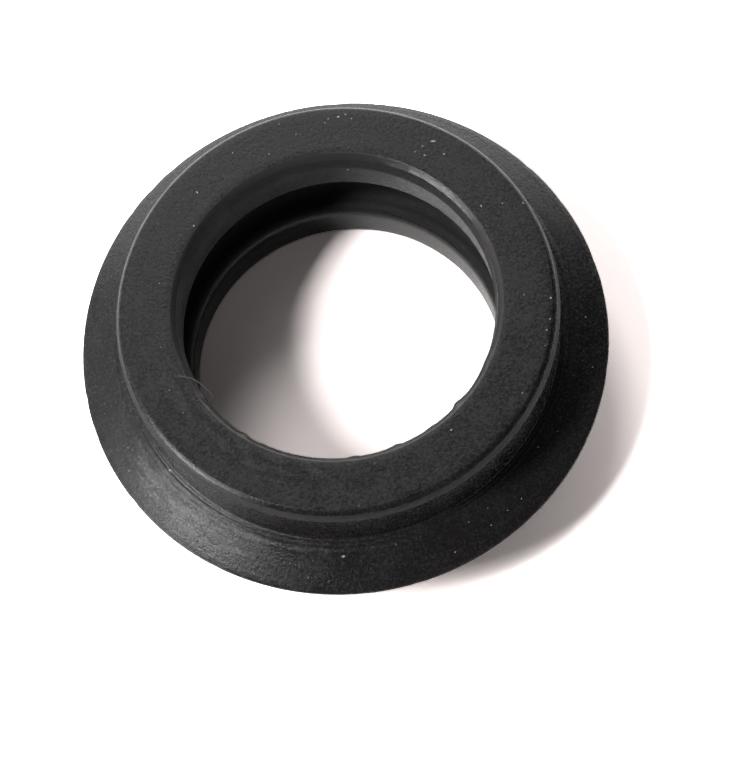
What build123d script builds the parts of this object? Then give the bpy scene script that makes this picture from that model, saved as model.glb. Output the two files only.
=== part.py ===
"""Moulded rubber ring seal, turned as one closed section about +Z.

The ring stands on its base. Outside, a short cylindrical neck rises above and below a flange that
tapers to a thin rim at about half height, and both end faces have a chamfered outer corner. Inside,
two lands of one radius grip a tube, with a wide relief groove between them. Millimetres, +Z up. The
origin is on the axis, in the plane that the base rests on.
"""
from build123d import *
from math import radians, tan
import os

# Heights above the base
HEIGHT = 13.6
RIM_HEIGHT = 6.5  # middle of the flange's thin rim, where the mould parts

# Outside
FLANGE_RADIUS = 20.0
RIM_THICKNESS = 0.3
FLANK_ANGLE = 25.0  # slope of the flange's two flanks, in degrees
NECK_RADIUS = 16.3
CHAMFER_WIDTH = 0.5  # across the end faces
CHAMFER_DEPTH = 0.95  # down the neck

# Bore
BORE_RADIUS = 11.8
LEAD_IN_DEPTH = 1.35  # from the top face down to the upper land
LEAD_IN_TAPER = 0.2  # what the lead-in's long cone opens the bore by
EDGE_BREAK = 0.35  # short cone at the mouth, outside the long one
BASE_BREAK = 0.3  # short cone where the lower land meets the base

# Relief groove between the two lands
GROOVE_RADIUS = 14.0
GROOVE_FLOOR = 3.9
GROOVE_CEILING = 9.2  # meets the upper land at a sharp lip
GROOVE_ROUND = 1.2  # between the groove's floor and its back wall
SHOULDER_ROUND = 1.0  # soft edge from the groove's floor down to the lower land

# Worked out from the above
FACE_RADIUS = NECK_RADIUS - CHAMFER_WIDTH  # outer edge of each flat end face
MOUTH_RADIUS = BORE_RADIUS + LEAD_IN_TAPER + EDGE_BREAK
ROOT_OFFSET = (FLANGE_RADIUS - NECK_RADIUS) * tan(radians(FLANK_ANGLE)) + RIM_THICKNESS / 2


def sharp_section() -> Sketch:
    """The ring's half section with sharp corners, as radius along X and height along Z."""
    bore_side = [
        (MOUTH_RADIUS, HEIGHT),
        (MOUTH_RADIUS - EDGE_BREAK, HEIGHT - EDGE_BREAK),
        (BORE_RADIUS, HEIGHT - LEAD_IN_DEPTH),
        (BORE_RADIUS, GROOVE_CEILING),
        (GROOVE_RADIUS, GROOVE_CEILING),
        (GROOVE_RADIUS, GROOVE_FLOOR),
        (BORE_RADIUS, GROOVE_FLOOR),
        (BORE_RADIUS, BASE_BREAK),
        (BORE_RADIUS + BASE_BREAK, 0),
    ]
    outer_side = [
        (FACE_RADIUS, 0),
        (NECK_RADIUS, CHAMFER_DEPTH),
        (NECK_RADIUS, RIM_HEIGHT - ROOT_OFFSET),
        (FLANGE_RADIUS, RIM_HEIGHT - RIM_THICKNESS / 2),
        (FLANGE_RADIUS, RIM_HEIGHT + RIM_THICKNESS / 2),
        (NECK_RADIUS, RIM_HEIGHT + ROOT_OFFSET),
        (NECK_RADIUS, HEIGHT - CHAMFER_DEPTH),
        (FACE_RADIUS, HEIGHT),
    ]
    with BuildSketch(Plane.XZ) as section:
        with BuildLine(Plane.XZ):
            Polyline(*bore_side, *outer_side, close=True)
        make_face()
    return section.sketch


def rounded(section: Sketch, radius: float, corner: tuple[float, float]) -> Sketch:
    """Round the section's corner at a (radius, height) point."""
    corner_radius, corner_height = corner
    nearest = section.vertices().sort_by_distance((corner_radius, 0, corner_height))[0]
    return fillet(nearest, radius)


def moulded_section() -> Sketch:
    """The half section with the two rounds that soften the groove's floor."""
    section = rounded(sharp_section(), GROOVE_ROUND, (GROOVE_RADIUS, GROOVE_FLOOR))
    return rounded(section, SHOULDER_ROUND, (BORE_RADIUS, GROOVE_FLOOR))


def main() -> None:
    """Turn the section and write the ring's one solid."""
    os.makedirs("parts", exist_ok=True)
    ring = revolve(moulded_section(), axis=Axis.Z)
    size = ring.bounding_box().size
    print(f"seal_ring: {ring.volume:.0f} mm3, {size.X:.2f} x {size.Y:.2f} x {size.Z:.2f} mm")
    export_step(ring, "parts/seal_ring.step")


main()
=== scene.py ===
"""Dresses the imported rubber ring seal: its moulded skin, the dust on it, and a plain studio round it.

Lengths of the ring and its dust are millimetres, those of the finishes and the studio are metres, and so
are the meshes. Angles are degrees. The frame's solid gives the ring's outer radius and height, and the
other sizes are named fields.
"""

import logging
import math
import random
from contextlib import contextmanager
from dataclasses import dataclass, field
from enum import Enum
from functools import reduce
from typing import Callable, Iterator

import bmesh
import bpy
from mathutils import Matrix, Quaternion, Vector
from mathutils.kdtree import KDTree


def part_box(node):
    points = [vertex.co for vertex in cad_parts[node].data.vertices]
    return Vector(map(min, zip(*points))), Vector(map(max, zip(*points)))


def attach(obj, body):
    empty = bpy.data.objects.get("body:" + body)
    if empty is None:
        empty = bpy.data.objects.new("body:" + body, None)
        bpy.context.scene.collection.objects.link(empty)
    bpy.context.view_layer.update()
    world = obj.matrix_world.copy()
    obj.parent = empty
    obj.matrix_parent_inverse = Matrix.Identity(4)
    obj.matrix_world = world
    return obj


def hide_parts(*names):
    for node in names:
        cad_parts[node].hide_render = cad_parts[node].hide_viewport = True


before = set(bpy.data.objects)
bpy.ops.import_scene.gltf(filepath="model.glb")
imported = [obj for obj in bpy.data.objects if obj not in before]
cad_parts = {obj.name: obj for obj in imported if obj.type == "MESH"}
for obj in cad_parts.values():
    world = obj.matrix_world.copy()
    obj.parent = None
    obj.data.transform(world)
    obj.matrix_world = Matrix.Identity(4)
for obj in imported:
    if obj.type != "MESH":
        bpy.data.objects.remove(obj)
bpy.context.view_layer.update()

MM = 0.001
NODE = "seal_ring"
BODY = "root"
log = logging.getLogger("seal_ring")

Colour = tuple[float, float, float]
Socket = bpy.types.NodeSocket


class Zone(Enum):
    """The stretches of the ring's skin that dust settles on."""

    TOP = "top face"
    FLANK = "upper flank of the flange"
    BORE = "upper land of the bore"


# ---------------------------------------------------------------- places and edit mode


def polar(radius: float, azimuth: float, height: float) -> Vector:
    """Find the place at a radius and height, in millimetres, and an azimuth.

    Args:
        radius: Distance from the ring's axis.
        azimuth: Angle round the axis from +X, in degrees.
        height: Height over the base.

    Returns:
        The place, in metres.
    """
    turn = math.radians(azimuth)
    return Vector((radius * math.cos(turn), radius * math.sin(turn), height)) * MM


def heading(elevation: float, azimuth: float) -> Vector:
    """Find the unit vector that points at an elevation and azimuth, in degrees."""
    rise, turn = math.radians(elevation), math.radians(azimuth)
    return Vector((math.cos(rise) * math.cos(turn), math.cos(rise) * math.sin(turn), math.sin(rise)))


def deselect_objects() -> None:
    """Deselect every object."""
    bpy.ops.object.select_all(action="DESELECT")


def activate(piece: bpy.types.Object) -> None:
    """Select one object alone and make it the active one.

    Args:
        piece: The object.
    """
    deselect_objects()
    piece.select_set(True)
    bpy.context.view_layer.objects.active = piece


@contextmanager
def edit(piece: bpy.types.Object) -> Iterator[None]:
    """Open a piece in edit mode with nothing selected, and leave edit mode afterwards.

    Args:
        piece: The mesh object to edit.
    """
    activate(piece)
    bpy.ops.object.mode_set(mode="EDIT")
    bpy.ops.mesh.select_all(action="DESELECT")
    try:
        yield
    finally:
        bpy.ops.object.mode_set(mode="OBJECT")
        piece.select_set(False)


def select_points(piece: bpy.types.Object, wanted: Callable[[Vector], bool]) -> int:
    """Select the vertices of the piece in edit mode whose place passes a test, and no others.

    Args:
        piece: The mesh object in edit mode.
        wanted: Says whether a vertex at a place, in metres, is wanted.

    Returns:
        How many vertices are selected.
    """
    bpy.ops.mesh.select_mode(type="VERT")
    mesh = bmesh.from_edit_mesh(piece.data)
    for vertex in mesh.verts:
        vertex.select = wanted(vertex.co)
    mesh.select_flush(True)
    bmesh.update_edit_mesh(piece.data)
    return sum(vertex.select for vertex in mesh.verts)


def select_edges(piece: bpy.types.Object, wanted: Callable[[Vector, Vector], bool]) -> int:
    """Select the edges of the piece in edit mode whose two ends pass a test, and no others.

    Args:
        piece: The mesh object in edit mode.
        wanted: Says whether an edge between two places, in metres, is wanted.

    Returns:
        How many edges are selected.
    """
    bpy.ops.mesh.select_mode(type="EDGE")
    mesh = bmesh.from_edit_mesh(piece.data)
    for edge in mesh.edges:
        edge.select = wanted(edge.verts[0].co, edge.verts[1].co)
    mesh.select_flush(False)
    bmesh.update_edit_mesh(piece.data)
    return sum(edge.select for edge in mesh.edges)


def start_point(name: str, place: Vector) -> bpy.types.Object:
    """Start a new mesh object as a single point.

    Args:
        name: The piece's name.
        place: Where the point lies, in metres.

    Returns:
        The object, at the origin.
    """
    deselect_objects()
    bpy.ops.mesh.primitive_plane_add(size=0.1 * MM, location=place)
    piece = bpy.context.active_object
    piece.name = piece.data.name = name
    bpy.ops.object.transform_apply(location=True, rotation=True, scale=True)
    with edit(piece):
        bpy.ops.mesh.select_all(action="SELECT")
        bpy.ops.mesh.merge(type="CENTER")
    return piece


def join(pieces: list[bpy.types.Object], name: str) -> bpy.types.Object:
    """Join pieces into one mesh object.

    Args:
        pieces: The mesh objects to join.
        name: The joined piece's name.

    Returns:
        The joined object, at the origin.
    """
    deselect_objects()
    for piece in pieces:
        piece.select_set(True)
    bpy.context.view_layer.objects.active = pieces[0]
    bpy.ops.object.join()
    joined = bpy.context.active_object
    joined.name = joined.data.name = name
    bpy.ops.object.transform_apply(location=True, rotation=True, scale=True)
    return joined


def hand_over(piece: bpy.types.Object, material: bpy.types.Material) -> None:
    """Give a finished piece its material, and set it on the ring's body.

    Args:
        piece: The finished mesh object, at the origin.
        material: The finish it wears.
    """
    piece.data.materials.clear()
    piece.data.materials.append(material)
    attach(piece, BODY)
    log.info("%s: %d faces", piece.name, len(piece.data.polygons))


# ---------------------------------------------------------------- finishes


class Nodes:
    """Short calls for building one material's node tree."""

    def __init__(self, name: str) -> None:
        """Start an empty material.

        Args:
            name: The material's name.
        """
        self.material = bpy.data.materials.new(name)
        self.material.use_nodes = True
        self.tree = self.material.node_tree
        self.tree.nodes.clear()
        self.output = self.tree.nodes.new("ShaderNodeOutputMaterial")

    def feed(self, node: bpy.types.Node, name: str | int, value: object) -> None:
        """Link a socket to an input, or set the input's value.

        Args:
            node: The node that has the input.
            name: The input's name or number.
            value: A socket to link, or a value.
        """
        if isinstance(value, Socket):
            self.tree.links.new(value, node.inputs[name])
        else:
            node.inputs[name].default_value = value

    def add(self, kind: str, **inputs: object) -> bpy.types.Node:
        """Add a node and fill its inputs.

        Args:
            kind: The node's type, without its ShaderNode prefix.
            **inputs: Values or sockets by input name, with _ for a space.

        Returns:
            The new node.
        """
        node = self.tree.nodes.new("ShaderNode" + kind)
        for name, value in inputs.items():
            self.feed(node, name.replace("_", " "), value)
        return node

    def math(self, operation: str, *values: object) -> Socket:
        """Add a Math node.

        Args:
            operation: What it does.
            *values: Numbers or sockets.

        Returns:
            Its result.
        """
        node = self.tree.nodes.new("ShaderNodeMath")
        node.operation = operation
        for place, value in enumerate(values):
            self.feed(node, place, value)
        return node.outputs[0]

    def vector(self, operation: str, *values: object, scale: object = 1.0) -> bpy.types.Node:
        """Add a Vector Math node.

        Args:
            operation: What it does.
            *values: Vectors or sockets.
            scale: What SCALE multiplies by.

        Returns:
            The node.
        """
        node = self.tree.nodes.new("ShaderNodeVectorMath")
        node.operation = operation
        for place, value in enumerate(values):
            self.feed(node, place, value)
        if operation == "SCALE":
            self.feed(node, 3, scale)
        return node

    def band(self, value: object, low: float, high: float, start: float, end: object) -> Socket:
        """Map a value smoothly from one span onto another.

        Args:
            value: A number or socket.
            low: Where the value's span starts.
            high: Where it ends.
            start: The result up to low.
            end: The result from high on, which may be a socket.

        Returns:
            The result.
        """
        node = self.tree.nodes.new("ShaderNodeMapRange")
        node.interpolation_type = "SMOOTHSTEP"
        fields = ("Value", "From Min", "From Max", "To Min", "To Max")
        for name, number in zip(fields, (value, low, high, start, end)):
            self.feed(node, name, number)
        return node.outputs[0]

    def step(self, value: object, edge: float, soft: float, start: float = 0.0, end: float = 1.0) -> Socket:
        """Go smoothly from start to end as a value passes an edge, over soft on either side."""
        return self.band(value, edge - soft, edge + soft, start, end)

    def product(self, *values: object) -> Socket:
        """Multiply two or more numbers or sockets, and return the product."""
        return reduce(lambda one, other: self.math("MULTIPLY", one, other), values)

    def facing(self, outward: object, azimuth: float) -> Socket:
        """Return the cosine of the angle from an outward direction to an azimuth, in degrees."""
        return self.vector("DOT_PRODUCT", outward, heading(0, azimuth)).outputs["Value"]

    def noise(self, vector: object, scale: float, detail: float = 4.0, rough: float = 0.55) -> Socket:
        """Add a Noise texture over a vector, and return its value."""
        return self.add("TexNoise", Vector=vector, Scale=scale, Detail=detail, Roughness=rough).outputs[0]

    def drawn_noise(self, vector: object, depth: object, scale: float, detail: float) -> Socket:
        """Add a Noise texture that changes along a fourth coordinate.

        Args:
            vector: Its vector.
            depth: The fourth coordinate.
            scale: Its scale.
            detail: Its detail.

        Returns:
            Its value.
        """
        node = self.add("TexNoise")
        node.noise_dimensions = "4D"
        for name, value in (("Vector", vector), ("W", depth), ("Scale", scale), ("Detail", detail)):
            self.feed(node, name, value)
        return node.outputs[0]

    def mix(self, factor: object, one: object, other: object) -> Socket:
        """Mix two numbers or sockets.

        Args:
            factor: The share of the other.
            one: A number or socket.
            other: A number or socket.

        Returns:
            The result.
        """
        node = self.add("Mix", Factor=factor)
        self.feed(node, 2, one)
        self.feed(node, 3, other)
        return node.outputs[0]

    def blend(self, factor: object, one: object, other: object) -> Socket:
        """Mix two colours, or sockets that carry them.

        Args:
            factor: The share of the other.
            one: A colour or socket.
            other: A colour or socket.

        Returns:
            The colour.
        """
        node = self.add("Mix")
        node.data_type = "RGBA"
        self.feed(node, "Factor", factor)
        for place, colour in ((6, one), (7, other)):
            self.feed(node, place, (*colour, 1.0) if isinstance(colour, tuple) else colour)
        return node.outputs[2]


@dataclass(frozen=True)
class Skin:
    """Where a point of the rubber lies, and the patterns there, as sockets of one material."""

    radius: Socket
    height: Socket
    outward: Socket
    blotches: Socket
    grain: Socket
    rings: Socket
    smudges: Socket
    turned: Socket
    pips: Socket


@dataclass(frozen=True)
class MouldedRubber:
    """Matte black moulded rubber: fine grain, a smoother bore, faint mould rings and pale scuffs, with
    painted shade on its top face, painted light in its bore, and painted highlights on its mouth facet and
    in the scuffs.

    Its lengths are in metres, and its edges are the radii and heights at which the finish changes.
    """

    colour: Colour = (0.0145, 0.0128, 0.0136)
    # Painted shade: the top face is coloured darker than the rest of the rubber.
    painted_shade_top_colour: Colour = (0.0098, 0.0084, 0.0087)
    # Painted light: the bore is coloured lighter than the outside of the ring.
    painted_light_bore_colour: Colour = (0.0245, 0.0225, 0.0232)
    # Painted highlight: the mouth's facet is coloured lighter, for the band of light it catches.
    painted_highlight_mouth_colour: Colour = (0.058, 0.0565, 0.054)
    bloom: Colour = (0.047, 0.0440, 0.0445)
    # Pale streaks on the flank: partly scuffs and partly a painted highlight where the windows' sheen falls.
    sheen_and_scuff_colour: Colour = (0.215, 0.221, 0.209)
    top_roughness: float = 0.29
    chamfer_roughness: float = 0.62
    crown_roughness: float = 0.18
    outer_roughness: float = 0.235
    lip_roughness: float = 0.20
    dull_lip_roughness: float = 0.58
    lip_shine_azimuth: float = 5.0
    nose_roughness: float = 0.60
    mouth_roughness: float = 0.17
    groove_roughness: float = 0.72
    land_roughness: float = 0.14
    specular: float = 0.40
    blotches_per_metre: float = 420.0
    grain_per_metre: float = 4600.0
    grain_depth: float = 0.032 * MM
    rings_per_metre: float = 4200.0
    ring_waver: float = 1.3
    ring_depth: float = 0.016 * MM
    pips_per_metre: float = 5600.0
    pip_share: float = 0.6
    pip_gloss: float = 0.16
    smudges_per_metre: float = 260.0
    smudge_waver: float = 7.0
    smudge_azimuth: float = 228.0
    sheen_and_scuff_azimuth: float = 221.0
    bore_edge: float = 12.17 * MM
    nose_edge: float = 11.74 * MM
    nose_foot: float = 12.1 * MM
    groove_edge: float = 9.1 * MM
    groove_back: float = 14.1 * MM
    land_edge: float = 3.4 * MM
    chamfer_foot: float = 12.6 * MM
    crown_foot: float = 13.2 * MM
    top_edge: float = 13.5 * MM
    face_edge: float = 15.7 * MM
    neck_radius: float = 16.3 * MM

    def skin(self, nodes: Nodes) -> Skin:
        """Add the coordinates and patterns that the rest of the finish is worked out from.

        Args:
            nodes: The material's nodes.

        Returns:
            The sockets that carry them.
        """
        place = nodes.add("TexCoord").outputs["Object"]
        split = nodes.add("SeparateXYZ", Vector=place)
        height = split.outputs["Z"]
        across = nodes.add("CombineXYZ", X=split.outputs["X"], Y=split.outputs["Y"], Z=0.0).outputs[0]
        radius = nodes.vector("LENGTH", across).outputs["Value"]
        outward = nodes.vector("NORMALIZE", across).outputs[0]
        wound = nodes.math("MULTIPLY", nodes.math("SUBTRACT", radius, height), self.rings_per_metre)
        drawn = nodes.math("MULTIPLY", radius, self.smudges_per_metre)
        turned = nodes.band(radius, self.face_edge, self.neck_radius + 0.2 * MM, 0.0, 1.0)
        pimples = nodes.band(nodes.noise(place, self.pips_per_metre, 2.0, 0.5), 0.56, 0.68, 0.0, 1.0)
        return Skin(
            radius=radius,
            height=height,
            outward=outward,
            blotches=nodes.noise(place, self.blotches_per_metre, 5.0, 0.6),
            grain=nodes.noise(place, self.grain_per_metre, 4.0, 0.68),
            rings=nodes.drawn_noise(outward, wound, self.ring_waver, 3.0),
            smudges=nodes.drawn_noise(outward, drawn, self.smudge_waver, 4.0),
            turned=turned,
            pips=nodes.product(turned, pimples),
        )

    def zone_roughness(self, nodes: Nodes, skin: Skin) -> Socket:
        """Work out the roughness from the stretch of the section that a place lies on.

        Args:
            nodes: The material's nodes.
            skin: The coordinates and patterns.

        Returns:
            The roughness, without its mottle.
        """
        soft = 0.08 * MM
        radius, height = skin.radius, skin.height
        lip = nodes.band(nodes.facing(skin.outward, self.lip_shine_azimuth), 0.15, 0.85,
                         self.dull_lip_roughness, self.lip_roughness)
        bore = nodes.mix(nodes.step(height, self.land_edge, soft), self.land_roughness, lip)
        nose = nodes.product(nodes.step(height, self.nose_foot, soft),
                             nodes.step(radius, self.nose_edge, soft / 2, 1.0, 0.0))
        bore = nodes.mix(nose, bore, self.nose_roughness)
        mouth = nodes.product(nodes.band(height, self.crown_foot - 2 * soft, self.crown_foot, 0.0, 1.0),
                              nodes.band(radius, self.nose_edge, self.nose_edge + soft, 0.0, 1.0))
        bore = nodes.mix(mouth, bore, self.mouth_roughness)
        outside = nodes.step(height, self.chamfer_foot, soft, self.outer_roughness, self.chamfer_roughness)
        outside = nodes.mix(nodes.step(height, self.crown_foot, soft), outside, self.crown_roughness)
        outside = nodes.mix(nodes.step(height, self.top_edge, soft), outside, self.top_roughness)
        solid = nodes.mix(nodes.band(radius, self.bore_edge - soft, self.bore_edge, 0.0, 1.0), bore, outside)
        in_groove = nodes.product(
            nodes.step(radius, self.bore_edge, soft),
            nodes.band(height, self.groove_edge, self.groove_edge + 4 * soft, 1.0, 0.0))
        past_groove = nodes.band(radius, self.groove_back, self.groove_back + 0.1 * MM, 0.0, 1.0)
        return nodes.mix(in_groove, solid, nodes.mix(past_groove, self.groove_roughness, solid))

    def roughness(self, nodes: Nodes, skin: Skin) -> Socket:
        """Work out the roughness with its mottle and the gloss of the pips.

        Args:
            nodes: The material's nodes.
            skin: The coordinates and patterns.

        Returns:
            The roughness.
        """
        mottle = nodes.math("ADD", nodes.band(skin.blotches, 0.3, 0.7, -0.05, 0.05),
                            nodes.band(skin.grain, 0.3, 0.7, -0.09, 0.09))
        rough = nodes.math("ADD", self.zone_roughness(nodes, skin), mottle)
        return nodes.math("MULTIPLY_ADD", skin.pips, -self.pip_gloss, rough)

    def bloom_share(self, nodes: Nodes, skin: Skin) -> Socket:
        """Work out how far the greyish bloom covers the rubber.

        Args:
            nodes: The material's nodes.
            skin: The coordinates and patterns.

        Returns:
            The bloom's share, from zero.
        """
        bloom = nodes.math("ADD", nodes.band(skin.blotches, 0.42, 0.66, 0.0, 0.18),
                           nodes.band(skin.grain, 0.43, 0.61, 0.0, 0.54))
        bloom = nodes.math("ADD", bloom, nodes.band(skin.rings, 0.40, 0.64, 0.0, 0.15))
        smudged = nodes.product(
            nodes.band(nodes.facing(skin.outward, self.smudge_azimuth), 0.55, 0.95, 0.0, 1.0),
            nodes.band(skin.radius, 13.4 * MM, 15.2 * MM, 1.0, 0.15),
            nodes.band(skin.smudges, 0.40, 0.66, -0.35, 0.55))
        bloom = nodes.math("MAXIMUM", nodes.math("ADD", bloom, smudged), 0.0)
        inside = nodes.product(
            nodes.band(skin.radius, self.groove_back, self.groove_back + 0.1 * MM, 1.0, 0.0),
            nodes.band(skin.height, self.crown_foot - 0.1 * MM, self.crown_foot, 1.0, 0.0))
        return nodes.math("MULTIPLY", bloom, nodes.math("MULTIPLY_ADD", inside, -0.55, 0.7))

    def sheen_and_scuff_share(self, nodes: Nodes, skin: Skin) -> Socket:
        """Work out how far pale streaks cover the flank where the windows' highlight falls on it: partly
        scuffs and partly a painted highlight.

        Args:
            nodes: The material's nodes.
            skin: The coordinates and patterns.

        Returns:
            The share of the scuffs and their painted highlight, from 0 to 1.
        """
        return nodes.product(
            nodes.band(nodes.facing(skin.outward, self.sheen_and_scuff_azimuth), 0.90, 0.97, 0.0, 1.0),
            nodes.band(skin.radius, 16.8 * MM, 17.3 * MM, 0.0, 1.0),
            nodes.band(skin.radius, 18.5 * MM, 19.3 * MM, 1.0, 0.0),
            nodes.band(skin.rings, 0.42, 0.60, 0.42, 1.0),
            nodes.band(skin.smudges, 0.44, 0.58, 0.0, 1.0),
            nodes.band(skin.grain, 0.40, 0.64, 0.25, 1.0))

    def base_colour(self, nodes: Nodes, skin: Skin) -> Socket:
        """Work out the rubber's colour on its top, its outside, its bore and its mouth facet, with painted
        shade on the top, painted light in the bore and a painted highlight on the mouth facet.

        Args:
            nodes: The material's nodes.
            skin: The coordinates and patterns.

        Returns:
            The colour, with its bloom, and its scuffs with their painted highlight.
        """
        in_bore = nodes.band(skin.radius, self.bore_edge - 0.05 * MM, self.bore_edge + 0.1 * MM, 1.0, 0.0)
        # Painted highlight: the mouth's facet, above the crown's foot inside the bore, takes a lighter
        # colour.
        painted_mouth_highlight = nodes.band(skin.height, self.crown_foot - 0.1 * MM, self.crown_foot, 0.0, in_bore)
        # Painted shade: the top face takes a darker colour.
        base = nodes.blend(nodes.step(skin.height, self.top_edge, 0.05 * MM), self.colour, self.painted_shade_top_colour)
        # Painted light: the bore takes a lighter colour.
        base = nodes.blend(in_bore, base, self.painted_light_bore_colour)
        base = nodes.blend(painted_mouth_highlight, base, self.painted_highlight_mouth_colour)
        base = nodes.blend(self.bloom_share(nodes, skin), base, self.bloom)
        # Pale streaks that are partly scuffs and partly a painted highlight.
        return nodes.blend(self.sheen_and_scuff_share(nodes, skin), base, self.sheen_and_scuff_colour)

    def relief(self, nodes: Nodes, skin: Skin) -> Socket:
        """Add the bump of the grain, and over it that of the mould rings and pips.

        Args:
            nodes: The material's nodes.
            skin: The coordinates and patterns.

        Returns:
            The bumped normal.
        """
        turning = nodes.math("MULTIPLY_ADD", skin.rings, skin.turned,
                             nodes.math("MULTIPLY", skin.pips, self.pip_share))
        grain = nodes.add("Bump", Height=skin.grain, Distance=self.grain_depth, Strength=1.0)
        return nodes.add("Bump", Height=turning, Distance=self.ring_depth, Strength=1.0,
                         Normal=grain.outputs[0]).outputs[0]

    def material(self) -> bpy.types.Material:
        """Build the rubber's material.

        Returns:
            The finished material.
        """
        nodes = Nodes("moulded_rubber")
        skin = self.skin(nodes)
        shader = nodes.add("BsdfPrincipled", Roughness=self.roughness(nodes, skin))
        nodes.feed(shader, "Base Color", self.base_colour(nodes, skin))
        nodes.feed(shader, "Normal", self.relief(nodes, skin))
        nodes.feed(shader, "Specular IOR Level", self.specular)
        nodes.feed(nodes.output, "Surface", shader.outputs[0])
        return nodes.material


@dataclass(frozen=True)
class PaleDust:
    """Pale household dust and lint."""

    name: str = "pale_dust"
    colour: Colour = (0.72, 0.70, 0.66)
    crumbs_per_metre: float = 7000.0
    roughness: float = 0.9

    def material(self) -> bpy.types.Material:
        """Build the dust's material.

        Returns:
            The finished material.
        """
        nodes = Nodes(self.name)
        place = nodes.add("TexCoord").outputs["Object"]
        shade = nodes.band(nodes.noise(place, self.crumbs_per_metre), 0.3, 0.7, 0.55, 1.0)
        tint = nodes.vector("SCALE", self.colour, scale=shade).outputs[0]
        shader = nodes.add("BsdfPrincipled", Roughness=self.roughness)
        nodes.feed(shader, "Base Color", tint)
        nodes.feed(nodes.output, "Surface", shader.outputs[0])
        return nodes.material


@dataclass(frozen=True)
class PaleFloor:
    """A pale card, which shows brighter to the eye and to reflections than it lights the ring."""

    colour: Colour = (0.80, 0.725, 0.71)
    seen_gain: float = 4.1
    mirrored_colour: Colour = (1.62, 1.60, 1.57)

    def material(self) -> bpy.types.Material:
        """Build the floor's material.

        Returns:
            The finished material.
        """
        nodes = Nodes("pale_floor")
        path = nodes.add("LightPath")
        seen = nodes.math("MAXIMUM", path.outputs["Is Camera Ray"], path.outputs["Is Transmission Ray"])
        gain = nodes.math("MULTIPLY_ADD", seen, self.seen_gain - 1.0, 1.0)
        seen_tint = nodes.vector("SCALE", self.colour, scale=gain).outputs[0]
        tint = nodes.blend(path.outputs["Is Glossy Ray"], seen_tint, self.mirrored_colour)
        shader = nodes.add("BsdfDiffuse", Color=tint)
        nodes.feed(nodes.output, "Surface", shader.outputs[0])
        return nodes.material


# ---------------------------------------------------------------- the ring


@dataclass(frozen=True)
class Corner:
    """One corner of the ring's section, the size of its round in millimetres, and the cuts in that round."""

    radius: float
    height: float
    round: float = 0.0
    cuts: int = 1

    @property
    def place(self) -> Vector:
        """The corner's place, in metres, in the plane of the section."""
        return Vector((self.radius, 0, self.height)) * MM


@dataclass(frozen=True)
class Mark:
    """A small uneven place on an edge: the skin is drawn inwards and upwards over a short reach.

    Lengths are in millimetres, and a negative one draws it outwards or downwards.
    """

    azimuth: float
    radius: float
    height: float
    inward: float
    upward: float
    reach: float


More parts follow.
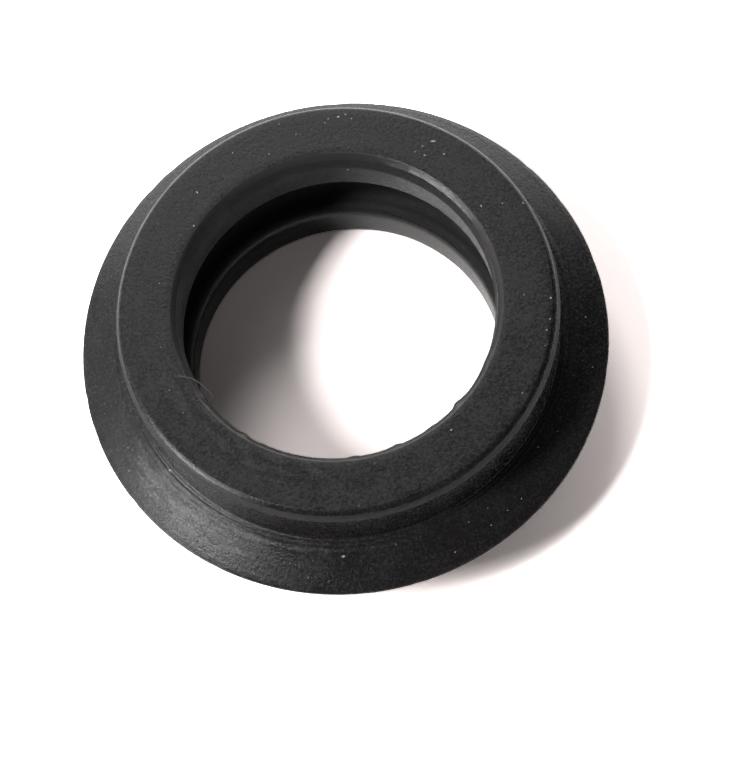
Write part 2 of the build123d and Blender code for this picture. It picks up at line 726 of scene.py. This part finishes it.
@dataclass
class SealRing:
    """The ring's skin: one section drawn as a chain of edges, rounded at its corners and turned.

    Radii and heights are in millimetres, with the base at zero.
    """

    outer_radius: float
    height: float
    rim_height: float = 6.5
    rim_thickness: float = 0.32
    neck_radius: float = 16.3
    root_offset: float = 1.88
    face_radius: float = 15.8
    chamfer_depth: float = 0.95
    chamfer_crown: tuple[float, float] = (0.36, 0.41)
    mouth_radius: float = 12.14
    mouth_break: float = 0.37
    mouth_drop: float = 0.42
    lip_radius: float = 11.58
    lip_depth: float = 1.34
    lip_edge_radius: float = 11.84
    groove_ceiling: float = 9.18
    groove_radius: float = 14.0
    groove_floor: float = 3.95
    land_radius: float = 11.91
    base_break: float = 0.3
    hem: float = 0.75
    hem_drop: float = 0.50
    ripple_start: float = 0.30
    ripple_ratio: float = 1.9
    ripple_depth: float = 0.034
    ripple_reach: float = 1.6
    ripple_end: float = 0.22
    points_per_ripple: int = 7
    turns: int = 576
    seed: int = 7

    def flank_height(self, radius: float) -> float:
        """Find the height of the flange's upper flank, without its ripples.

        Args:
            radius: Distance from the axis.

        Returns:
            The height over the base.
        """
        hem_radius = self.outer_radius - self.hem
        hem_height = self.rim_height + self.hem_drop
        root_height = self.rim_height + self.root_offset
        share = (hem_radius - radius) / (hem_radius - self.neck_radius)
        return hem_height + share * (root_height - hem_height)

    def ripples(self) -> list[Corner]:
        """Work out the low rings round the foot of the neck, each wider than the last.

        Returns:
            The corners that draw them, from the outermost inwards.
        """
        foot = self.neck_radius - 0.1
        growth = self.ripple_ratio ** (1 / self.points_per_ripple)
        corners = []
        out = self.ripple_reach
        while out > self.ripple_end:
            phase = math.tau * math.log(out / self.ripple_start, self.ripple_ratio)
            fade = min(1.0, 2.0 * (1 - out / self.ripple_reach))
            rise = self.ripple_depth * fade * min(1.0, 1.5 * out) * math.cos(phase)
            corners.append(Corner(foot + out, self.flank_height(foot + out) + rise))
            out /= growth
        return corners

    def corners(self) -> list[Corner]:
        """List the section's corners from the mouth, down the bore and up the outside.

        Returns:
            The corners in order.
        """
        top, rim, thick = self.height, self.rim_height, self.rim_thickness / 2
        tip, neck = self.outer_radius, self.neck_radius
        crown_out, crown_drop = self.chamfer_crown
        return [
            Corner(self.mouth_radius, top, 0.08, 3),
            Corner(self.mouth_radius - self.mouth_break, top - self.mouth_drop, 0.04, 2),
            Corner(self.lip_radius, top - self.lip_depth, 0.20, 5),
            Corner(self.lip_edge_radius, self.groove_ceiling, 0.04, 2),
            Corner(self.groove_radius, self.groove_ceiling + 0.25, 0.8, 6),
            Corner(self.groove_radius, self.groove_floor, 1.2, 8),
            Corner(self.land_radius, self.groove_floor - 0.1, 1.0, 10),
            Corner(self.land_radius, self.base_break, 0.12, 3),
            Corner(self.land_radius + self.base_break, 0.0, 0.12, 3),
            Corner(self.face_radius, 0.0, 0.16, 3),
            Corner(neck, self.chamfer_depth, 0.16, 3),
            Corner(neck, rim - self.root_offset, 0.22, 3),
            Corner(tip - self.hem, rim - self.hem_drop, 0.3, 2),
            Corner(tip, rim - thick, 0.14, 3),
            Corner(tip, rim + thick, 0.14, 3),
            Corner(tip - self.hem, rim + self.hem_drop, 0.3, 2),
            *self.ripples(),
            Corner(neck, rim + self.root_offset, 0.06, 2),
            Corner(neck, top - self.chamfer_depth, 0.10, 4),
            Corner(self.face_radius + crown_out, top - crown_drop, 0.28, 6),
            Corner(self.face_radius, top, 0.10, 4),
        ]

    def draw_section(self) -> bpy.types.Object:
        """Draw the section's sharp outline by extruding one point from corner to corner.

        Returns:
            The outline, filled with one face.
        """
        outline = [corner.place for corner in self.corners()]
        piece = start_point("ring_skin", outline[0])
        with edit(piece):
            bpy.ops.mesh.select_all(action="SELECT")
            for here, there in zip(outline, outline[1:]):
                bpy.ops.mesh.extrude_region_move(TRANSFORM_OT_translate={"value": there - here})
            bpy.ops.mesh.select_all(action="SELECT")
            bpy.ops.mesh.edge_face_add()
        return piece

    def round_corners(self, piece: bpy.types.Object) -> None:
        """Round each corner of the section to its own size, and leave the outline as bare edges.

        Args:
            piece: The section, filled with one face.
        """
        with edit(piece):
            for corner in self.corners():
                if not corner.round:
                    continue
                select_points(piece, lambda point: (point - corner.place).length < 0.002 * MM)
                bpy.ops.mesh.bevel(offset=corner.round * MM, segments=corner.cuts, profile=0.5,
                                   affect="VERTICES")
            bpy.ops.mesh.select_all(action="SELECT")
            bpy.ops.mesh.delete(type="ONLY_FACE")

    def divide_edges(self, piece: bpy.types.Object) -> None:
        """Divide the outline's long edges, so that no face of the ring is a long strip.

        Args:
            piece: The outline, as bare edges.
        """
        longest = 0.55 * MM
        with edit(piece):
            for cuts in range(12, 0, -1):
                if select_edges(piece, lambda one, other: (one - other).length > (cuts + 0.2) * longest):
                    bpy.ops.mesh.subdivide(number_cuts=cuts)

    def turn(self, piece: bpy.types.Object) -> None:
        """Turn the outline once round the axis into the closed ring.

        Args:
            piece: The outline, as bare edges.
        """
        activate(piece)
        lathe = piece.modifiers.new("lathe", "SCREW")
        lathe.axis = "Z"
        lathe.angle = math.tau
        lathe.steps = lathe.render_steps = self.turns
        lathe.use_merge_vertices = True
        lathe.merge_threshold = 0.001 * MM
        bpy.ops.object.modifier_apply(modifier=lathe.name)
        with edit(piece):
            bpy.ops.mesh.select_all(action="SELECT")
            bpy.ops.mesh.remove_doubles(threshold=0.001 * MM)
            bpy.ops.mesh.normals_make_consistent(inside=False)

    def mouth_marks(self) -> list[Mark]:
        """List the flash cut back round the mouth: the plain places listed one by one, and the small ones at
        random.

        Returns:
            The marks, all on the mouth's inner edge.
        """
        radius, height = self.mouth_radius - self.mouth_break, self.height - self.mouth_drop
        plain = [
            Mark(307.4, radius, height, 0.13, 0.02, 0.45),
            Mark(309.4, radius, height, 0.05, 0.00, 0.40),
            Mark(281.6, radius, height, 0.08, 0.02, 0.34),
            Mark(279.8, radius, height, 0.05, 0.02, 0.50),
            Mark(265.8, radius, height, 0.07, 0.02, 0.45),
            Mark(226.0, radius, height, 0.05, 0.01, 0.50),
            Mark(231.0, radius, height, -0.06, -0.01, 0.70),
            Mark(327.0, radius, height, 0.05, 0.01, 0.80),
            Mark(204.5, radius, height, 0.07, 0.03, 0.50),
        ]
        draw = random.Random(self.seed)
        return plain + [
            Mark(draw.uniform(0, 360), radius, height,
                 draw.uniform(-0.035, 0.05), draw.uniform(-0.015, 0.02), draw.uniform(0.25, 0.9))
            for _ in range(46)
        ]

    def rim_marks(self) -> list[Mark]:
        """List the nicks in the flange's rim: one plain nick, and small ones at random.

        Returns:
            The marks, all on the rim.
        """
        draw = random.Random(self.seed + 1)
        return [Mark(33.5, self.outer_radius, self.rim_height, 0.07, 0.0, 0.35)] + [
            Mark(draw.uniform(0, 360), self.outer_radius, self.rim_height,
                 draw.uniform(0.01, 0.035), draw.uniform(-0.02, 0.02), draw.uniform(0.3, 0.9))
            for _ in range(26)
        ]

    def press(self, piece: bpy.types.Object, marks: list[Mark], margin: float) -> None:
        """Press uneven places into one edge of the skin, with the rest of the skin hidden meanwhile.

        Args:
            piece: The closed ring.
            marks: The places, all on one edge.
            margin: How far from the edge the skin may move, in millimetres.
        """
        edge_radius, edge_height = marks[0].radius * MM, marks[0].height * MM
        near = margin * MM
        tree = KDTree(len(piece.data.vertices))
        for vertex in piece.data.vertices:
            tree.insert(vertex.co, vertex.index)
        tree.balance()
        with edit(piece):
            select_points(piece, lambda point: abs(point.z - edge_height) < near
                          and abs(point.xy.length - edge_radius) < near)
            bpy.ops.mesh.hide(unselected=True)
            for mark in marks:
                bpy.ops.mesh.select_all(action="DESELECT")
                mesh = bmesh.from_edit_mesh(piece.data)
                mesh.verts.ensure_lookup_table()
                place = polar(mark.radius, mark.azimuth, mark.height)
                for _, index, _ in tree.find_range(place, 0.13 * MM):
                    mesh.verts[index].select = True
                mesh.select_flush(True)
                push = polar(-mark.inward, mark.azimuth, mark.upward)
                bpy.ops.transform.translate(
                    value=push, use_proportional_edit=True, use_proportional_connected=True,
                    proportional_edit_falloff="SMOOTH", proportional_size=mark.reach * MM)
            bpy.ops.mesh.reveal(select=False)

    def build(self) -> bpy.types.Object:
        """Model the ring's skin.

        Returns:
            The finished mesh object.
        """
        piece = self.draw_section()
        self.round_corners(piece)
        self.divide_edges(piece)
        log.info("section: %d points", len(piece.data.vertices))
        self.turn(piece)
        self.press(piece, self.mouth_marks(), 1.1)
        self.press(piece, self.rim_marks(), 0.9)
        activate(piece)
        bpy.ops.object.shade_smooth_by_angle(angle=math.radians(32))
        return piece


# ---------------------------------------------------------------- dust and lint


@dataclass(frozen=True)
class Speck:
    """One fleck of dust: where it lies, its length and width, and which way it points."""

    zone: Zone
    radius: float
    azimuth: float
    length: float
    width: float
    turn: float = 0.0


@dataclass(frozen=True)
class Fibre:
    """One short fibre on the top face: its middle, its length, how far it bows, and which way it points."""

    radius: float
    azimuth: float
    length: float
    bow: float
    turn: float


@dataclass
class Dust:
    """The dust and lint that the ring wears.

    Sizes are in millimetres, and turns are in degrees. Each station of the hair is a radius, an azimuth
    and a lift over the top face.
    """

    ring: SealRing
    scattered: int = 80
    # Pale crumbs crowded into the flank's highlight: partly dust and partly painted glints.
    dust_and_glint_crumbs: int = 120
    dust_and_glint_azimuths: tuple[float, float] = (200.0, 246.0)
    seed: int = 19
    land_drop: float = 1.8
    hair_thickness: float = 0.11
    hair: tuple[tuple[float, float, float], ...] = (
        (12.55, 195.0, 0.03),
        (12.20, 196.3, 0.06),
        (11.74, 198.2, 0.03),
        (11.45, 201.0, -0.02),
        (11.30, 203.8, -0.05),
        (11.22, 206.5, -0.10),
        (11.30, 208.2, -0.20),
        (11.56, 209.2, -0.30),
    )
    fibre_thickness: float = 0.035
    fibre_steps: int = 6
    fibres: tuple[Fibre, ...] = (
        Fibre(12.9, 167.0, 0.9, 0.5, 100.0),
        Fibre(13.4, 134.0, 0.5, 0.15, 40.0),
        Fibre(14.2, 62.0, 0.35, 0.1, 150.0),
        Fibre(15.0, 18.0, 0.4, 0.1, 80.0),
    )
    flecks: list[Speck] = field(default_factory=lambda: [
        Speck(Zone.TOP, 15.1, 79, 0.22, 0.15, 20),
        Speck(Zone.TOP, 15.3, 77, 0.15, 0.10, 80),
        Speck(Zone.TOP, 14.7, 50, 0.42, 0.13, 350),
        Speck(Zone.TOP, 13.9, 128, 0.20, 0.09, 300),
        Speck(Zone.TOP, 12.4, 138, 0.14, 0.12, 0),
        Speck(Zone.TOP, 13.0, 299, 0.15, 0.12, 0),
        Speck(Zone.TOP, 13.4, 50, 0.16, 0.09, 150),
        Speck(Zone.TOP, 14.2, 45, 0.13, 0.11, 0),
        Speck(Zone.TOP, 13.0, 24, 0.20, 0.08, 95),
        Speck(Zone.TOP, 14.4, 21, 0.11, 0.08, 60),
        Speck(Zone.TOP, 15.7, 18, 0.14, 0.07, 110),
        Speck(Zone.TOP, 15.3, 96, 0.13, 0.07, 70),
        Speck(Zone.TOP, 14.1, 92, 0.12, 0.08, 20),
        Speck(Zone.TOP, 13.2, 102, 0.10, 0.08, 0),
        Speck(Zone.TOP, 14.7, 83, 0.14, 0.06, 120),
        Speck(Zone.TOP, 15.6, 349, 0.14, 0.11, 0),
        Speck(Zone.TOP, 15.6, 343, 0.12, 0.10, 30),
        Speck(Zone.FLANK, 18.3, 352, 0.13, 0.10, 80),
        Speck(Zone.FLANK, 18.9, 340, 0.10, 0.09, 0),
        Speck(Zone.FLANK, 17.3, 316, 0.12, 0.10, 0),
        Speck(Zone.FLANK, 18.7, 295, 0.09, 0.08, 0),
        Speck(Zone.FLANK, 17.7, 291, 0.10, 0.07, 40),
        Speck(Zone.FLANK, 17.5, 260, 0.26, 0.16, 350),
        Speck(Zone.FLANK, 16.6, 210, 0.34, 0.16, 330),
        Speck(Zone.FLANK, 19.0, 252, 0.16, 0.08, 60),
        Speck(Zone.FLANK, 18.6, 300, 0.12, 0.09, 0),
        Speck(Zone.FLANK, 17.9, 322, 0.10, 0.08, 0),
        Speck(Zone.BORE, 11.6, 76, 0.16, 0.12, 0),
    ])

    def height_at(self, zone: Zone, radius: float) -> float:
        """Find the height of the skin under a fleck.

        Args:
            zone: The stretch of skin that it lies on.
            radius: Its distance from the axis.

        Returns:
            The height over the base.
        """
        if zone is Zone.TOP:
            return self.ring.height
        if zone is Zone.FLANK:
            return self.ring.flank_height(radius)
        return self.ring.height - self.land_drop

    def scatter(self) -> list[Speck]:
        """Draw the small flecks at random over the top face and the flank, and the pale crumbs crowded where
        the flank's highlight falls, dust that partly stands in for painted glints.

        Returns:
            The flecks.
        """
        draw = random.Random(self.seed)
        spans = {Zone.TOP: (12.4, 15.7), Zone.FLANK: (17.0, 19.4)}
        first, last = self.dust_and_glint_azimuths
        specks = []
        for number in range(self.scattered):
            zone = Zone.FLANK if number % 3 == 0 else Zone.TOP
            low, high = spans[zone]
            size = 0.022 + 0.055 * draw.random() ** 3
            specks.append(Speck(zone, draw.uniform(low, high), draw.uniform(0, 360),
                                size * draw.uniform(1.0, 2.4), size, draw.uniform(0, 180)))
        # Pale crumbs set where the flank's highlight falls, partly standing in for painted glints.
        for _ in range(self.dust_and_glint_crumbs):
            azimuth = draw.gauss(0.5, 0.22) * (last - first) + first
            size = draw.uniform(0.022, 0.044)
            specks.append(Speck(Zone.FLANK, draw.uniform(17.1, 19.2), azimuth,
                                size * draw.uniform(1.5, 5.0), size, azimuth + 90 + draw.gauss(0, 14)))
        return specks

    def fleck(self, speck: Speck, number: int) -> bpy.types.Object:
        """Model one fleck as a squashed, uneven crumb.

        Args:
            speck: Where the fleck lies, and its size.
            number: Seeds its unevenness.

        Returns:
            The crumb, at the origin.
        """
        height = self.height_at(speck.zone, speck.radius)
        place = polar(speck.radius, speck.azimuth, height + 0.25 * speck.width)
        deselect_objects()
        bpy.ops.mesh.primitive_ico_sphere_add(subdivisions=2, radius=0.5 * MM, location=place,
                                              rotation=(0, 0, math.radians(speck.turn)),
                                              scale=(speck.length, speck.width, 0.7 * speck.width))
        crumb = bpy.context.active_object
        bpy.ops.object.transform_apply(location=True, rotation=True, scale=True)
        with edit(crumb):
            bpy.ops.mesh.select_all(action="SELECT")
            bpy.ops.transform.vertex_random(offset=0.12 * speck.width * MM, seed=number)
        return crumb

    def build_flecks(self) -> bpy.types.Object:
        """Model every fleck.

        Returns:
            The flecks as one mesh object.
        """
        specks = self.flecks + self.scatter()
        return join([self.fleck(speck, number) for number, speck in enumerate(specks)], "dust_flecks")

    def strand(self, stations: list[Vector], thickness: float) -> bpy.types.Object:
        """Model one fibre by extruding a small ring of edges from station to station.

        Args:
            stations: Places along the fibre, in metres.
            thickness: The fibre's diameter in millimetres.

        Returns:
            The fibre, at the origin.
        """
        deselect_objects()
        start = (stations[1] - stations[0]).to_track_quat("Z", "Y").to_euler()
        bpy.ops.mesh.primitive_circle_add(vertices=6, radius=thickness / 2 * MM, fill_type="NGON",
                                          location=stations[0], rotation=start)
        strand = bpy.context.active_object
        bpy.ops.object.transform_apply(location=True, rotation=True, scale=True)
        with edit(strand):
            bpy.ops.mesh.select_all(action="SELECT")
            for here, there in zip(stations, stations[1:]):
                bpy.ops.mesh.extrude_region_move(TRANSFORM_OT_translate={"value": there - here})
            bpy.ops.mesh.select_all(action="SELECT")
            bpy.ops.mesh.normals_make_consistent(inside=False)
        return strand

    def fibre_stations(self, fibre: Fibre) -> list[Vector]:
        """Lay out one short fibre as a shallow bow on the top face.

        Args:
            fibre: Where the fibre lies, and its size.

        Returns:
            Places along it, in metres.
        """
        middle = polar(fibre.radius, fibre.azimuth, self.ring.height + 0.03)
        along = heading(0, fibre.turn) * MM
        side = heading(0, fibre.turn + 90) * MM
        shares = [step / self.fibre_steps - 0.5 for step in range(self.fibre_steps + 1)]
        return [middle + along * (fibre.length * share)
                + side * (fibre.bow * fibre.length * (1 - 4 * share * share))
                for share in shares]

    def build_lint(self) -> bpy.types.Object:
        """Model the long hair that hangs into the bore, and the short fibres on the top face.

        Returns:
            The fibres as one mesh object.
        """
        top = self.ring.height
        hair = [polar(radius, azimuth, top + lift) for radius, azimuth, lift in self.hair]
        strands = [self.strand(hair, self.hair_thickness)]
        strands += [self.strand(self.fibre_stations(fibre), self.fibre_thickness) for fibre in self.fibres]
        return join(strands, "lint_fibres")


# ---------------------------------------------------------------- the studio


@dataclass(frozen=True)
class Softbox:
    """A rectangular soft lamp that faces the ring.

    Its distance and sides are in metres, its glow is its radiance, and its turn is about its own axis.
    One that is for gloss only shows in the rubber's sheen and doesn't lift the shadow on the floor.
    """

    name: str
    elevation: float
    azimuth: float
    distance: float
    width: float
    height: float
    glow: float
    turn: float = 0.0
    gloss_only: bool = False

    def hang(self) -> None:
        """Set the lamp in the scene."""
        lamp = bpy.data.lights.new(self.name, "AREA")
        lamp.shape = "RECTANGLE"
        lamp.size = self.width
        lamp.size_y = self.height
        lamp.energy = self.glow * math.pi * self.width * self.height
        away = heading(self.elevation, self.azimuth)
        box = bpy.data.objects.new(self.name, lamp)
        box.location = away * self.distance
        box.visible_diffuse = not self.gloss_only
        rolled = Quaternion((0, 0, 1), math.radians(self.turn))
        box.rotation_euler = (away.to_track_quat("Z", "Y") @ rolled).to_euler()
        bpy.context.scene.collection.objects.link(box)


@dataclass
class Studio:
    """A pale floor, soft windows round the ring with the key at the left, a low even sky, and the camera.

    The camera's distance and shifts are in flange radii, and its lens and sensor are in millimetres.
    """

    ring_radius: float
    softboxes: tuple[Softbox, ...] = (
        Softbox("key_window", 55.5, 191, 3.0, 0.42, 0.70, 40.0, 38),
        Softbox("left_high_window", 44, 197, 3.0, 0.48, 0.40, 31.0),
        Softbox("left_window", 5.5, 201, 3.0, 1.5, 0.64, 20.0, gloss_only=True),
        Softbox("left_strip", 5, 178, 3.0, 4.0, 0.50, 1.6),
        Softbox("left_far_window", 33, 163, 3.0, 1.6, 1.06, 1.4),
        Softbox("far_strip", 8, 84, 3.0, 6.4, 0.86, 4.8),
        Softbox("far_window", 27, 104, 3.0, 5.0, 1.06, 0.9),
        Softbox("far_high_window", 51, 97, 3.0, 1.1, 1.1, 4.1),
        Softbox("ceiling_window", 66, 140, 3.0, 1.3, 1.3, 0.35),
        Softbox("near_window", 27, 290, 3.0, 2.2, 1.8, 0.2),
    )
    sky_strength: float = 0.042
    floor_size: float = 0.10
    lens: float = 100.04
    sensor: float = 36.0
    camera_distance: float = 8.01
    camera_elevation: float = 69.09
    camera_roll: float = 11.345
    camera_shift: tuple[float, float] = (-0.1274, 0.1572)
    aim_height: float = 6.5 * MM

    def lay_floor(self) -> None:
        """Lay the floor that the ring stands on."""
        deselect_objects()
        bpy.ops.mesh.primitive_plane_add(size=self.floor_size)
        floor = bpy.context.active_object
        floor.name = "floor"
        floor.data.materials.append(PaleFloor().material())

    def hang_lights(self) -> None:
        """Set the soft windows and the sky."""
        for softbox in self.softboxes:
            softbox.hang()

        world = bpy.data.worlds.new("sky")
        world.use_nodes = True
        tree = world.node_tree
        sky = tree.nodes["Background"]
        sky.inputs["Color"].default_value = (1.0, 1.0, 1.0, 1.0)
        path = tree.nodes.new("ShaderNodeLightPath")
        level = tree.nodes.new("ShaderNodeMapRange")
        level.inputs["To Min"].default_value = self.sky_strength
        level.inputs["To Max"].default_value = 1.0
        tree.links.new(path.outputs["Is Camera Ray"], level.inputs["Value"])
        tree.links.new(level.outputs[0], sky.inputs["Strength"])
        bpy.context.scene.world = world

    def place_camera(self) -> None:
        """Set the camera at its height, distance and roll, with the lens that goes with them."""
        roll = math.radians(self.camera_roll)
        back = heading(self.camera_elevation, -90)
        level_right = Vector((1, 0, 0))
        level_up = back.cross(level_right)
        right = math.cos(roll) * level_right - math.sin(roll) * level_up
        up = math.sin(roll) * level_right + math.cos(roll) * level_up
        across, rise = self.camera_shift
        place = (self.camera_distance * back - across * right - rise * up) * self.ring_radius
        place.z += self.aim_height
        lens = bpy.data.cameras.new("camera")
        lens.lens = self.lens
        lens.sensor_width = self.sensor
        lens.clip_start = 0.005
        lens.clip_end = 20.0
        camera = bpy.data.objects.new("camera", lens)
        camera.matrix_world = Matrix.Translation(place) @ Matrix((right, up, back)).transposed().to_4x4()
        bpy.context.scene.collection.objects.link(camera)
        bpy.context.scene.camera = camera

    def build(self) -> None:
        """Set up the floor, the lights and the camera."""
        self.lay_floor()
        self.hang_lights()
        self.place_camera()
        bpy.context.scene.view_settings.view_transform = "Standard"


def main() -> None:
    """Build the ring's skin, its dust and the studio, sized from the frame's solid."""
    logging.basicConfig(level=logging.INFO, format="%(name)s: %(message)s")
    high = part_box(NODE)[1]
    ring = SealRing(outer_radius=high[0] / MM, height=high[2] / MM)
    skin = ring.build()
    hand_over(skin, MouldedRubber().material())
    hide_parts(NODE)
    dust = Dust(ring)
    hand_over(dust.build_flecks(), PaleDust().material())
    hand_over(dust.build_lint(), PaleDust("grey_lint", (0.11, 0.107, 0.104)).material())
    Studio(ring_radius=high[0]).build()


if __name__ == "__main__":
    main()
